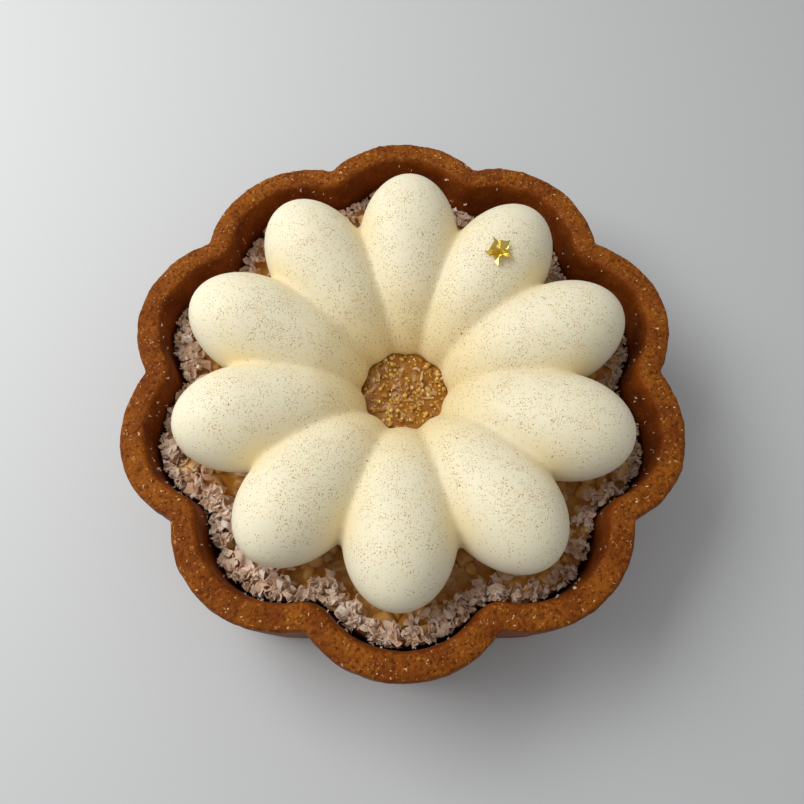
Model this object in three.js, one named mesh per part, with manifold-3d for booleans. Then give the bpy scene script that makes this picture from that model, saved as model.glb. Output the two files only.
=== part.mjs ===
// Almond tart: a scalloped pastry shell, an almond filling with curled shavings round its edge,
// a moulded mousse flower of ten petals, a praline centre and a star of gold leaf.
// Units are millimetres. +Z is up, the tart stands on z = 0 and its front faces -Y.
import * as THREE from 'three';
import { mergeVertices } from 'three/addons/utils/BufferGeometryUtils.js';
import Module from 'manifold-3d';

const wasm = await Module();
wasm.setup();

const { degToRad, lerp, smoothstep } = THREE.MathUtils;

// Driving dimensions
const SCALLOPS = 10; // lobes of the shell, and petals of the flower
const SHELL_HEIGHT = 20;
const LOBE_CENTRE = 25.1; // from the tart's axis
const LOBE_RADIUS = 15.3;
const FRONT_STRETCH = 0.014; // the front of the outline stands out by this share
const FRONT_LOBE_SWELL = 0.014; // and the middle of its front lobe by this much more
const BACK_STRETCH = 0.024; // the back stands out by this share
const FRONT_WIDENING = degToRad(1.7); // the front notches stand this much further apart
const WALL = 3.9;
const FLOOR = 3.5;
const DRAFT = degToRad(1.5); // lean of the shell's walls
const FILLING_DEPTH = 8; // from the rim down to the plain level of the filling
const EDGE_BANK = 1.6; // the filling stands this much higher along the wall
const PETAL_TIP = 32.9; // from the flower's axis
const PETAL_WAIST = 22.5; // where a petal is widest
const PETAL_HALF_WIDTH = 8.2;
const PETAL_RISE = 8; // crest above the petal's waistline
const HUB_RADIUS = 6.2; // opening in the middle of the flower
const STAR_REACH = 2.3; // from the star's middle to its points
const GAP = 0.3; // between pieces that touch

// Derived sizes
const LOBE_TURN = (2 * Math.PI) / SCALLOPS;
const FRONT = -Math.PI / 2;
const NOTCH_SOFTNESS = 0.35; // rounding of the notches between the lobes
const SHARP_RADIUS = LOBE_RADIUS + NOTCH_SOFTNESS;
const LOBE_OFFSET = LOBE_CENTRE * Math.sin(LOBE_TURN / 2); // from the line through a notch
const NOTCH_DISTANCE = LOBE_CENTRE * Math.cos(LOBE_TURN / 2)
  + Math.sqrt(SHARP_RADIUS ** 2 - LOBE_OFFSET ** 2);
const LOBE_OPENING = Math.asin(NOTCH_DISTANCE * Math.sin(LOBE_TURN / 2) / SHARP_RADIUS);
const FRONT_FULL = degToRad(58); // from the front, how far the front's stretch is whole
const FRONT_REACH = degToRad(86); // and how far it reaches
const BACK_MIDDLE = degToRad(84);
const BACK_REACH = degToRad(50);
const WIDENING_REACH = degToRad(75);
const FILLING_LEVEL = SHELL_HEIGHT - FILLING_DEPTH;
const FLOWER_BASE = FILLING_LEVEL + GAP;
const WAISTLINE = SHELL_HEIGHT - 1.6; // height of a petal's widest line
const WAIST_SLOPE = 0.19; // the waistline climbs towards the tip
const HUB_DIP = 2; // and dips by this much more at the hub
const UP = new THREE.Vector3(0, 0, 1);
const FLOWER_TURN = degToRad(-1.6);
const FLOWER_SHIFT = new THREE.Vector3(0.26, -0.33, 0);

THREE.MathUtils.seededRandom(7);
const draw = (low, high) => lerp(low, high, THREE.MathUtils.seededRandom());

// ---- closed solids from rings, and solids joined or cut ----

// Rings run counter-clockwise with the same number of points. Each is joined to the next, and
// a fan of triangles closes each end to its centre point.
function solidFromRings(rings, firstCentre, lastCentre) {
  const count = rings[0].length;
  const points = [...rings.flat(), firstCentre, lastCentre];
  const first = points.length - 2;
  const last = points.length - 1;
  const index = [];
  for (let step = 0; step < count; step += 1) {
    const next = (step + 1) % count;
    const top = (rings.length - 1) * count;
    index.push(first, next, step);
    index.push(last, top + step, top + next);
    for (let ring = 0; ring < rings.length - 1; ring += 1) {
      const low = ring * count;
      const high = low + count;
      index.push(low + step, low + next, high + next);
      index.push(low + step, high + next, high + step);
    }
  }
  const geometry = new THREE.BufferGeometry().setFromPoints(points);
  geometry.setIndex(index);
  return geometry;
}

function toManifold(geometry) {
  const bare = geometry.clone();
  bare.deleteAttribute('normal');
  bare.deleteAttribute('uv');
  const merged = mergeVertices(bare, 1e-4);
  return new wasm.Manifold(new wasm.Mesh({
    numProp: 3,
    vertProperties: Float32Array.from(merged.attributes.position.array),
    triVerts: Uint32Array.from(merged.index.array),
  }));
}

function fromManifold(solid) {
  const { vertProperties, triVerts } = solid.getMesh();
  const geometry = new THREE.BufferGeometry();
  geometry.setAttribute('position', new THREE.BufferAttribute(vertProperties, 3));
  geometry.setIndex(new THREE.BufferAttribute(triVerts, 1));
  geometry.computeVertexNormals();
  return geometry;
}

function moveVertices(geometry, move) {
  const position = geometry.attributes.position;
  const point = new THREE.Vector3();
  for (let vertex = 0; vertex < position.count; vertex += 1) {
    point.fromBufferAttribute(position, vertex);
    move(point);
    position.setXYZ(vertex, point.x, point.y, point.z);
  }
  return geometry;
}

function pieceOf(name, geometry, color, roughness, metalness = 0) {
  geometry.computeVertexNormals();
  const material = new THREE.MeshStandardMaterial({ color, roughness, metalness });
  const mesh = new THREE.Mesh(geometry, material);
  mesh.name = name;
  return mesh;
}

// ---- the scalloped outline that the shell and its filling share ----

// The mould is a little out of true. This is the outline's stretch at an angle: the front and the
// back stand out, and the front lobe is the fullest.
function stretchAt(angle) {
  const fromFront = Math.abs(turnBetween(FRONT, angle));
  const fromBack = Math.min(Math.abs(turnBetween(BACK_MIDDLE, angle)), BACK_REACH);
  const front = 1 - smoothstep(fromFront, FRONT_FULL, FRONT_REACH);
  const back = Math.cos((fromBack / BACK_REACH) * (Math.PI / 2)) ** 2;
  const lobeShare = Math.min((2 * fromFront) / LOBE_TURN, 1);
  const lobe = FRONT_LOBE_SWELL * (1 - lobeShare ** 4);
  return 1 + FRONT_STRETCH * front + lobe + BACK_STRETCH * back;
}

// Turn of the outline at an angle, away from the front on both sides.
function wideningAt(angle) {
  const fromFront = turnBetween(FRONT, angle);
  const share = Math.min(Math.abs(fromFront) / WIDENING_REACH, 1);
  return FRONT_WIDENING * Math.sin(share * Math.PI) * Math.sign(fromFront);
}

// Signed angle from one direction to another, within half a turn.
function turnBetween(from, to) {
  return Math.atan2(Math.sin(to - from), Math.cos(to - from));
}

// The outline moved inwards by inset: lobes as arcs, joined by arcs round each notch.
function scallopRing(inset, heightAt, lobeSteps = 9, notchSteps = 3) {
  const ring = [];
  const arc = (centreDistance, centreAngle, radius, from, to, steps) => {
    for (let step = 0; step < steps; step += 1) {
      const angle = lerp(from, to, step / steps);
      const x = centreDistance * Math.cos(centreAngle) + radius * Math.cos(angle);
      const y = centreDistance * Math.sin(centreAngle) + radius * Math.sin(angle);
      const trueAngle = Math.atan2(y, x);
      const distance = Math.hypot(x, y) * stretchAt(trueAngle);
      const turned = trueAngle + wideningAt(trueAngle);
      const height = heightAt(turned);
      ring.push(new THREE.Vector3(
        distance * Math.cos(turned),
        distance * Math.sin(turned),
        height,
      ));
    }
  };
  for (let lobe = 0; lobe < SCALLOPS; lobe += 1) {
    const axis = FRONT + lobe * LOBE_TURN;
    const notch = axis + LOBE_TURN / 2;
    const radius = LOBE_RADIUS - inset;
    arc(LOBE_CENTRE, axis, radius, axis - LOBE_OPENING, axis + LOBE_OPENING, lobeSteps);
    const inward = notch + Math.PI;
    const sweep = LOBE_OPENING - LOBE_TURN / 2;
    arc(NOTCH_DISTANCE, notch, NOTCH_SOFTNESS + inset, inward + sweep, inward - sweep, notchSteps);
  }
  return ring;
}

// How far a point lies inside the outline.
function insetAt(x, y) {
  const turned = Math.atan2(y, x);
  const trueAngle = turned - wideningAt(turned - wideningAt(turned));
  const radius = Math.hypot(x, y) / stretchAt(trueAngle);
  const turns = Math.round((trueAngle - FRONT) / LOBE_TURN);
  const fromAxis = Math.abs(trueAngle - FRONT - turns * LOBE_TURN);
  const along = radius * Math.cos(fromAxis) - LOBE_CENTRE;
  const across = radius * Math.sin(fromAxis);
  if (Math.atan2(across, along) < LOBE_OPENING) {
    return LOBE_RADIUS - Math.hypot(along, across);
  }
  const notchAlong = NOTCH_DISTANCE * Math.cos(LOBE_TURN / 2) - LOBE_CENTRE;
  const notchAcross = NOTCH_DISTANCE * Math.sin(LOBE_TURN / 2);
  return Math.hypot(along - notchAlong, across - notchAcross) - NOTCH_SOFTNESS;
}

const outerInset = (height) => (SHELL_HEIGHT - height) * Math.tan(DRAFT);
const innerInset = (height) => WALL + outerInset(height);

// ---- pastry shell: pressed in a ring mould, so its wall keeps one thickness round the lobes ----

function makeShell() {
  const shoulder = 0.9; // rounding of the rim's outer edge
  const lip = 1.1; // rounding of its inner edge
  const heel = 0.6; // rounding of the base's edge
  const cove = 1.4; // inside, from floor to wall
  const rimWave = (angle) => 0.18 * Math.sin(3 * angle + 0.7) + 0.1 * Math.sin(7 * angle);
  const profile = [
    [outerInset(0) + heel, 0],
    [outerInset(heel), heel],
  ];
  const cornerSteps = 3;
  for (let step = 0; step <= cornerSteps; step += 1) {
    const turn = (step / cornerSteps) * (Math.PI / 2);
    const drop = shoulder * (1 - Math.sin(turn));
    profile.push([shoulder * (1 - Math.cos(turn)), SHELL_HEIGHT - drop]);
  }
  for (let step = 0; step <= cornerSteps; step += 1) {
    const turn = (step / cornerSteps) * (Math.PI / 2);
    const drop = lip * (1 - Math.cos(turn));
    profile.push([WALL - lip * (1 - Math.sin(turn)), SHELL_HEIGHT - drop]);
  }
  profile.push([innerInset(FLOOR + cove), FLOOR + cove]);
  profile.push([innerInset(FLOOR) + cove, FLOOR]);
  const rings = profile.map(([inset, height]) => {
    const share = smoothstep(height, FLOOR + cove, SHELL_HEIGHT);
    return scallopRing(inset, (angle) => height + share * rimWave(angle));
  });
  const under = new THREE.Vector3(0, 0, 0);
  const floor = new THREE.Vector3(0, 0, FLOOR);
  return pieceOf('pastry_shell', solidFromRings(rings, under, floor), 0xa05f22, 0.85);
}

// ---- mousse flower ----

// Share of its full section that a petal has at a distance from the flower's axis.
function petalSection(distance) {
  if (distance > PETAL_WAIST) {
    const share = (distance - PETAL_WAIST) / (PETAL_TIP - PETAL_WAIST);
    return Math.sqrt(Math.max(1 - share ** 2, 0));
  }
  const taper = 1 - ((PETAL_WAIST - distance) / PETAL_WAIST) ** 1.7;
  const rounding = Math.max((HUB_RADIUS + 3 - distance) / 3, 0);
  return taper * Math.sqrt(Math.max(1 - rounding ** 2, 0));
}

const PETAL_DROP = 6.4; // depth of the petal's underside below its waistline
const FOOT_RADIUS = 23.4; // of what joins the petals, seen between their tips

function waistHeight(distance) {
  const dip = HUB_DIP * (1 - smoothstep(distance, HUB_RADIUS, 13));
  return WAISTLINE + WAIST_SLOPE * (distance - PETAL_WAIST) - dip;
}

// One petal lying along +Y, an egg with its wide end outwards.
function makePetal() {
  const petal = new THREE.SphereGeometry(1, 18, 12);
  return moveVertices(petal, (point) => {
    const ring = Math.hypot(point.x, point.z) || 1;
    const across = point.x / ring;
    const up = point.z / ring;
    const end = point.y > 0 ? PETAL_TIP : HUB_RADIUS;
    const distance = lerp(PETAL_WAIST, end, Math.abs(point.y));
    const section = petalSection(distance);
    const reach = up > 0 ? PETAL_RISE : PETAL_DROP;
    point.x = PETAL_HALF_WIDTH * section * across;
    point.y = distance;
    point.z = waistHeight(distance) + reach * section * up;
  });
}

function petalAxis(petal) {
  return FRONT + petal * LOBE_TURN;
}

// Ten petals on a common foot, with a flat back and the open hub.
function makeFlower() {
  const foot = new THREE.LatheGeometry([
    new THREE.Vector2(0, FLOWER_BASE - 1),
    new THREE.Vector2(FOOT_RADIUS - 2.4, FLOWER_BASE - 1),
    new THREE.Vector2(FOOT_RADIUS, WAISTLINE - 2.6),
    new THREE.Vector2(FOOT_RADIUS - 1.9, WAISTLINE - 0.8),
    new THREE.Vector2(12, WAISTLINE - 3),
    new THREE.Vector2(HUB_RADIUS + 0.5, FLOWER_BASE + 0.8),
    new THREE.Vector2(0, FLOWER_BASE + 0.8),
  ], 30).rotateX(Math.PI / 2);
  let flower = toManifold(foot);
  const petal = makePetal();
  for (let number = 0; number < SCALLOPS; number += 1) {
    const turned = petal.clone().rotateZ(petalAxis(number) - Math.PI / 2);
    flower = flower.add(toManifold(turned));
  }
  const below = new THREE.BoxGeometry(100, 100, 20).translate(0, 0, FLOWER_BASE - 10);
  const hub = new THREE.CylinderGeometry(HUB_RADIUS, HUB_RADIUS, 40, 30).rotateX(Math.PI / 2);
  hub.translate(0, 0, FLOWER_BASE);
  flower = flower.subtract(toManifold(below)).subtract(toManifold(hub));
  return pieceOf('mousse_flower', fromManifold(flower), 0xf1e6c6, 0.6);
}

// True where a point of the tart is nearer than margin to a petal.
function touchesPetal(tartPoint, margin) {
  const point = tartPoint.clone().sub(FLOWER_SHIFT).applyAxisAngle(UP, -FLOWER_TURN);
  const angle = Math.atan2(point.y, point.x);
  const nearest = Math.round((angle - FRONT) / LOBE_TURN);
  for (let number = nearest - 1; number <= nearest + 1; number += 1) {
    const axis = petalAxis(number);
    const distance = point.x * Math.cos(axis) + point.y * Math.sin(axis);
    const across = Math.abs(point.y * Math.cos(axis) - point.x * Math.sin(axis));
    const section = petalSection(Math.max(distance - margin, PETAL_WAIST));
    const rise = point.z - waistHeight(distance);
    const reach = (rise > 0 ? PETAL_RISE : PETAL_DROP) * section + margin;
    const halfWidth = PETAL_HALF_WIDTH * section + margin;
    if ((across / halfWidth) ** 2 + (rise / reach) ** 2 < 1) {
      return true;
    }
  }
  return false;
}

// ---- filling: a firm almond cream, lumpy where it shows, with shavings pressed into its edge ----

const lumps = [];
for (let number = 0; number < 70; number += 1) {
  const angle = (number / 70) * 2 * Math.PI + draw(-0.05, 0.05);
  const distance = draw(24, 34);
  lumps.push({
    x: distance * Math.cos(angle),
    y: distance * Math.sin(angle),
    rise: draw(0.5, 1.7),
    spread: draw(1.5, 2.6),
  });
}

// The filling is flat under the flower, and outside it banks up to the wall in lumps.
function fillingHeight(x, y) {
  const point = new THREE.Vector3(x, y, FILLING_LEVEL);
  if (Math.hypot(x, y) < FOOT_RADIUS + 1.5) {
    return point.z;
  }
  const fromWall = insetAt(x, y) - WALL;
  const bank = EDGE_BANK * (1 - smoothstep(fromWall, 1, 7));
  for (const lump of lumps) {
    const away = Math.hypot(x - lump.x, y - lump.y) / lump.spread;
    const rise = bank + lump.rise * Math.exp(-(away ** 2));
    point.z = Math.max(point.z, FILLING_LEVEL + rise);
  }
  while (point.z > FILLING_LEVEL && touchesPetal(point, 2 * GAP)) {
    point.z -= 0.1;
  }
  return Math.max(point.z, FILLING_LEVEL);
}

function makeFillingCore() {
  const bottom = FLOOR + GAP;
  const cove = 1.6;
  const side = [
    [innerInset(bottom) + GAP + cove, bottom],
    [innerInset(bottom + cove) + GAP, bottom + cove],
    [innerInset(FILLING_LEVEL) + GAP, FILLING_LEVEL + EDGE_BANK - 0.6],
  ];
  const rings = side.map(([inset, height]) => scallopRing(inset, () => height, 8, 2));
  const edge = rings[rings.length - 1];
  for (const share of [0.965, 0.925, 0.88, 0.835, 0.79, 0.74, 0.68]) {
    rings.push(edge.map(({ x, y }) => {
      const height = fillingHeight(x * share, y * share);
      return new THREE.Vector3(x * share, y * share, height);
    }));
  }
  const under = new THREE.Vector3(0, 0, bottom);
  const middle = new THREE.Vector3(0, 0, FILLING_LEVEL);
  return solidFromRings(rings, under, middle);
}

// A shaving is a strip rolled into part of a ring.
function makeShaving() {
  const thickness = 0.3;
  const radius = draw(0.9, 1.6);
  const sweep = draw(2.2, 4);
  const width = draw(0.7, 1.5);
  const steps = 3;
  const outside = [];
  const inside = [];
  for (let step = 0; step <= steps; step += 1) {
    const angle = (step / steps) * sweep;
    const rolled = radius * (1 - 0.25 * (step / steps));
    outside.push(new THREE.Vector2(rolled * Math.cos(angle), rolled * Math.sin(angle)));
    const within = rolled - thickness;
    inside.unshift(new THREE.Vector2(within * Math.cos(angle), within * Math.sin(angle)));
  }
  const section = new THREE.Shape([...outside, ...inside]);
  const strip = new THREE.ExtrudeGeometry(section, { depth: width, bevelEnabled: false });
  strip.translate(0, 0, -width / 2);
  strip.rotateX(Math.PI / 2 + draw(-0.9, 0.9));
  strip.rotateZ(draw(0, 2 * Math.PI));
  return { strip, radius };
}

// True where the placed strip stays clear of the shell and of the flower.
function shavingFits(strip) {
  const position = strip.attributes.position;
  const point = new THREE.Vector3();
  for (let vertex = 0; vertex < position.count; vertex += 1) {
    point.fromBufferAttribute(position, vertex);
    const nearWall = insetAt(point.x, point.y) < innerInset(point.z) + 1.5 * GAP;
    if (nearWall || touchesPetal(point, 1.5 * GAP)) {
      return false;
    }
  }
  return true;
}

// The shavings lie in a band along the wall, deeper at the front. Each one sinks into what is
// below it, and one that doesn't, or that touches the wall or a petal, is left out.
function makeFilling() {
  const shavings = 57;
  const frontBand = 6;
  const backBand = 4.2;
  const shellClearance = WALL + 1;
  let filling = toManifold(makeFillingCore());
  let placed = 0;
  while (placed < shavings) {
    const angle = (placed / shavings) * 2 * Math.PI + draw(-0.2, 0.2);
    const band = lerp(backBand, frontBand, smoothstep(Math.cos(angle - FRONT), -0.5, 0.8));
    const inset = shellClearance + draw(0, band);
    let distance = LOBE_CENTRE + LOBE_RADIUS;
    while (insetAt(distance * Math.cos(angle), distance * Math.sin(angle)) < inset) {
      distance -= 0.2;
    }
    const x = distance * Math.cos(angle);
    const y = distance * Math.sin(angle);
    const { strip, radius } = makeShaving();
    strip.translate(x, y, fillingHeight(x, y) + radius * draw(0.1, 0.6));
    if (shavingFits(strip)) {
      const shaving = toManifold(strip);
      const joined = filling.add(shaving);
      const sunk = filling.volume() + shaving.volume() - joined.volume();
      if (sunk > 0.05) {
        filling = joined;
        placed += 1;
      }
    }
  }
  return pieceOf('almond_filling', fromManifold(filling), 0xc1874a, 0.45);
}

// ---- praline centre: a granular mound that fills the flower's hub ----

function makePraline() {
  const radius = HUB_RADIUS - GAP;
  const thickness = 0.7;
  const disc = new THREE.CylinderGeometry(radius, radius, thickness, 30).rotateX(Math.PI / 2);
  disc.translate(0, 0, thickness / 2);
  let praline = toManifold(disc);
  const grains = 30;
  const goldenAngle = Math.PI * (3 - Math.sqrt(5));
  for (let number = 0; number < grains; number += 1) {
    const distance = (radius - 0.8) * Math.sqrt((number + 0.5) / grains);
    const angle = number * goldenAngle;
    const grain = new THREE.OctahedronGeometry(draw(0.6, 0.85));
    grain.rotateX(draw(0, 3)).rotateY(draw(0, 3));
    grain.translate(distance * Math.cos(angle), distance * Math.sin(angle), thickness - 0.05);
    praline = praline.add(toManifold(grain));
  }
  const below = new THREE.BoxGeometry(20, 20, 4).translate(0, 0, -2);
  praline = praline.subtract(toManifold(below));
  return pieceOf('praline_centre', fromManifold(praline), 0xa9701f, 0.4);
}

// ---- gold star: crumpled leaf, both faces split alike round its middle ----

function makeStar() {
  const points = 5;
  const thickness = 0.25;
  const crumple = 0.5; // how far the leaf leaves the petal
  const firstPoint = degToRad(40);
  const top = [];
  for (let corner = 0; corner < 2 * points; corner += 1) {
    const angle = firstPoint + (corner / points) * Math.PI + draw(-0.12, 0.12);
    const share = corner % 2 ? draw(0.42, 0.55) : draw(0.9, 1);
    const x = STAR_REACH * share * Math.cos(angle);
    const y = STAR_REACH * share * Math.sin(angle);
    top.push(new THREE.Vector3(x, y, thickness + crumple * draw(-0.3, 1)));
  }
  const bottom = top.map(({ x, y, z }) => new THREE.Vector3(x, y, z - thickness));
  const middle = new THREE.Vector3(0, 0, thickness + 0.4 * crumple);
  const under = new THREE.Vector3(0, 0, 0.4 * crumple);
  return pieceOf('gold_star', solidFromRings([bottom, top], under, middle), 0xd9b23a, 0.25, 1);
}

// A point on top of a petal, by its distance from the flower's axis and from the petal's own.
function petalTop(petal, distance, across) {
  const section = petalSection(distance);
  const lean = across / (PETAL_HALF_WIDTH * section);
  const height = waistHeight(distance) + PETAL_RISE * section * Math.sqrt(1 - lean ** 2);
  const axis = petalAxis(petal);
  return new THREE.Vector3(
    distance * Math.cos(axis) - across * Math.sin(axis),
    distance * Math.sin(axis) + across * Math.cos(axis),
    height,
  );
}

// ---- the whole ----

const tart = new THREE.Group();
tart.add(makeShell(), makeFilling());

const flower = new THREE.Group();
flower.position.copy(FLOWER_SHIFT);
flower.rotation.z = FLOWER_TURN;
flower.add(makeFlower());

const praline = makePraline();
praline.position.z = FLOWER_BASE;
flower.add(praline);

// The star lies on the petal to the right of the back one, square to the petal's surface.
const starPetal = 4;
const starDistance = 21.4;
const starAcross = -0.9;
const step = 0.1;
const spot = petalTop(starPetal, starDistance, starAcross);
const outwards = petalTop(starPetal, starDistance + step, starAcross).sub(spot);
const sideways = petalTop(starPetal, starDistance, starAcross + step).sub(spot);
const normal = outwards.cross(sideways).normalize();
const star = makeStar();
star.position.copy(spot).addScaledVector(normal, GAP);
star.quaternion.setFromUnitVectors(UP, normal);
flower.add(star);
tart.add(flower);

// The tart's box is centred on the origin.
const middle = new THREE.Box3().setFromObject(tart, true).getCenter(new THREE.Vector3());
tart.position.set(-middle.x, -middle.y, 0);

export default tart;
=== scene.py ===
# Almond tart: a scalloped pastry shell, a lumpy almond filling, a moulded mousse flower, a
# praline centre, curled shavings along the wall and a star of gold leaf. Lengths are in metres.
import math
import random

import bmesh
import bpy
import numpy as np
from mathutils import Matrix, Vector, noise
from mathutils.bvhtree import BVHTree


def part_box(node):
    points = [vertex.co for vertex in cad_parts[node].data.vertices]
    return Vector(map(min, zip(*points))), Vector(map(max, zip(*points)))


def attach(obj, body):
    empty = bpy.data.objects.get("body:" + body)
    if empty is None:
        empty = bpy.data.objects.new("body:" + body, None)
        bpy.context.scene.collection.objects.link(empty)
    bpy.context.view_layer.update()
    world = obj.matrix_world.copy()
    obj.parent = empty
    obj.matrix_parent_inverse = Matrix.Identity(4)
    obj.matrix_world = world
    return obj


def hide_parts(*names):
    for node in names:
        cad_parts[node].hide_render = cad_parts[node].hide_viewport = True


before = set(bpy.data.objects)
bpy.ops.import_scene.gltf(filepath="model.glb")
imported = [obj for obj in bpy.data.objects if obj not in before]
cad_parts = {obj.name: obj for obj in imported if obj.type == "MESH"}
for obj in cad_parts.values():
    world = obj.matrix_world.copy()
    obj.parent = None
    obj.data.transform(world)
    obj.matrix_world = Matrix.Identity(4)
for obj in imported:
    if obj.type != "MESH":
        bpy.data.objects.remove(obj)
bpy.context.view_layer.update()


# ---- Pastry shell ----
# A case of sweet pastry with ten scallops, pressed into a ring mould and baked brown. The rim is
# cut almost level and shows the sandy crumb, while the mould leaves the sides smooth.

MM = 0.001
SCALLOPS = 10
LOBE_TURN = 2 * math.pi / SCALLOPS
FRONT = -math.pi / 2
RIM_HEIGHT = 20 * MM
LOBE_CENTRE = 25.1 * MM
LOBE_RADIUS = 15.3 * MM
NOTCH_SOFTNESS = 0.35 * MM
FRONT_STRETCH = 0.014
FRONT_LOBE_SWELL = 0.014
BACK_STRETCH = 0.024
FRONT_WIDENING = math.radians(1.7)
FRONT_FULL = math.radians(58)
FRONT_REACH = math.radians(86)
BACK_MIDDLE = math.radians(84)
BACK_REACH = math.radians(50)
WIDENING_REACH = math.radians(75)
WALL = 3.9 * MM
FLOOR = 3.5 * MM
DRAFT = math.radians(1.5)
WALL_STEPS = 5
INNER_STEPS = 4
OUTER_ROUNDING = 0.9 * MM
INNER_ROUNDING = 1.1 * MM
BASE_CHAMFER = 0.6 * MM
FLAT_BASE = 0.35 * MM
SWELL_WIDTH = 2.4 * MM
SWELL_RELIEF = 0.35 * MM
CRUMB_WIDTH = 0.75 * MM
CRUMB_RELIEF = 0.3 * MM

lobe_offset = LOBE_CENTRE * math.sin(LOBE_TURN / 2)
sharp_radius = LOBE_RADIUS + NOTCH_SOFTNESS
NOTCH_DISTANCE = (LOBE_CENTRE * math.cos(LOBE_TURN / 2)
                  + math.sqrt(sharp_radius ** 2 - lobe_offset ** 2))
LOBE_OPENING = math.asin(NOTCH_DISTANCE * math.sin(LOBE_TURN / 2) / sharp_radius)


def smoothstep(low, high, value):
    share = min(max((value - low) / (high - low), 0), 1)
    return share * share * (3 - 2 * share)


def new_primitive(add, name, **sizes):
    """Adds a primitive with nothing else selected, and opens it for editing."""
    bpy.ops.object.select_all(action="DESELECT")
    add(**sizes)
    made = bpy.context.object
    made.name = made.data.name = name
    bpy.ops.object.mode_set(mode="EDIT")
    bpy.ops.mesh.select_mode(type="VERT")
    bpy.ops.mesh.select_all(action="SELECT")
    return made


def pick(made, kind, wanted):
    """Selects those vertices, edges or faces of the opened piece that wanted() accepts."""
    bpy.ops.mesh.select_mode(type={"verts": "VERT", "edges": "EDGE", "faces": "FACE"}[kind])
    bpy.ops.mesh.select_all(action="DESELECT")
    mesh = bmesh.from_edit_mesh(made.data)
    for element in getattr(mesh, kind):
        if wanted(element):
            element.select_set(True)
    mesh.select_flush_mode()
    bmesh.update_edit_mesh(made.data)


def close_editing():
    bpy.ops.object.mode_set(mode="OBJECT")


def spin_round(steps, angle, centre, copies=False):
    """Spins what is selected counter-clockwise, seen from above."""
    bpy.ops.mesh.spin(steps=steps, angle=angle, center=centre, axis=(0, 0, -1), dupli=copies)


def extrude_up(rise, share=1.0):
    """Extrudes what is selected upwards and scales the new end about the tart's axis."""
    bpy.ops.mesh.extrude_region_move(TRANSFORM_OT_translate={"value": (0, 0, rise)})
    bpy.ops.transform.resize(value=(share, share, 1), center_override=(0, 0, 0))


def put_in_order(made):
    """Lists a piece's vertices and faces by their place. The editing tools leave them in another
    order each run, and what is laid on the piece later would then lie another way."""
    mesh = made.data
    places = [tuple(round(value, 7) for value in vertex.co) for vertex in mesh.vertices]
    order = sorted(range(len(places)), key=lambda index: places[index])
    rank = {index: number for number, index in enumerate(order)}
    faces = []
    for face in mesh.polygons:
        corners = [rank[index] for index in face.vertices]
        first = corners.index(min(corners))
        faces.append(corners[first:] + corners[:first])
    mesh.clear_geometry()
    mesh.from_pydata([places[index] for index in order], [], sorted(faces))


def settle_faces(made):
    """Splits the large flat faces that close a piece, and turns all its faces outwards."""
    close_editing()
    put_in_order(made)
    bpy.ops.object.mode_set(mode="EDIT")
    pick(made, "faces", lambda face: len(face.verts) > 4)
    bpy.ops.mesh.quads_convert_to_tris(ngon_method="BEAUTY")
    bpy.ops.mesh.select_all(action="SELECT")
    bpy.ops.mesh.normals_make_consistent(inside=False)


def apply_modifier(made, kind, **settings):
    modifier = made.modifiers.new(kind.title(), kind)
    for name, value in settings.items():
        setattr(modifier, name, value)
    bpy.context.view_layer.objects.active = made
    bpy.ops.object.modifier_apply(modifier=modifier.name)


def keep_attribute(made, name, measure):
    """Stores one number for each vertex, for the materials to read."""
    values = [measure(vertex) for vertex in made.data.vertices]
    made.data.attributes.new(name, "FLOAT", "POINT").data.foreach_set("value", values)


def scallop_loop(name, inset, lobe_steps, notch_steps):
    """The scalloped outline at z = 0, moved inwards by inset: a vertex is spun round one lobe
    and one notch, and the stretch that this draws is repeated round the tart's axis."""
    made = new_primitive(bpy.ops.mesh.primitive_plane_add, name, size=MM)
    bpy.ops.mesh.merge(type="CENTER")
    start = FRONT - LOBE_OPENING
    radius = LOBE_RADIUS - inset
    first = Vector((radius * math.cos(start), radius * math.sin(start) - LOBE_CENTRE, 0))
    bpy.ops.transform.translate(value=first)
    spin_round(lobe_steps, 2 * LOBE_OPENING, (0, -LOBE_CENTRE, 0))
    notch = FRONT + LOBE_TURN / 2
    corner = Vector((math.cos(notch), math.sin(notch), 0)) * NOTCH_DISTANCE
    spin_round(notch_steps, LOBE_TURN - 2 * LOBE_OPENING, corner)
    bpy.ops.mesh.select_all(action="SELECT")
    spin_round(SCALLOPS - 1, (SCALLOPS - 1) * LOBE_TURN, (0, 0, 0), copies=True)
    bpy.ops.mesh.select_all(action="SELECT")
    bpy.ops.mesh.remove_doubles(threshold=0.01 * MM)
    bpy.ops.mesh.edge_face_add()
    return made


def stretch_at(angle):
    """The mould is a little out of true: how much the outline is stretched at an angle. The
    front and the back stand out, and the front lobe is the fullest."""
    from_front = abs(math.remainder(angle - FRONT, 2 * math.pi))
    from_back = min(abs(math.remainder(angle - BACK_MIDDLE, 2 * math.pi)), BACK_REACH)
    front = 1 - smoothstep(FRONT_FULL, FRONT_REACH, from_front)
    back = math.cos(from_back / BACK_REACH * math.pi / 2) ** 2
    lobe = FRONT_LOBE_SWELL * (1 - min(2 * from_front / LOBE_TURN, 1) ** 4)
    return 1 + FRONT_STRETCH * front + lobe + BACK_STRETCH * back


def widening_at(angle):
    """Turn of the outline at an angle, away from the front on both sides."""
    from_front = math.remainder(angle - FRONT, 2 * math.pi)
    share = min(abs(from_front) / WIDENING_REACH, 1)
    return math.copysign(FRONT_WIDENING * math.sin(share * math.pi), from_front)


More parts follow.
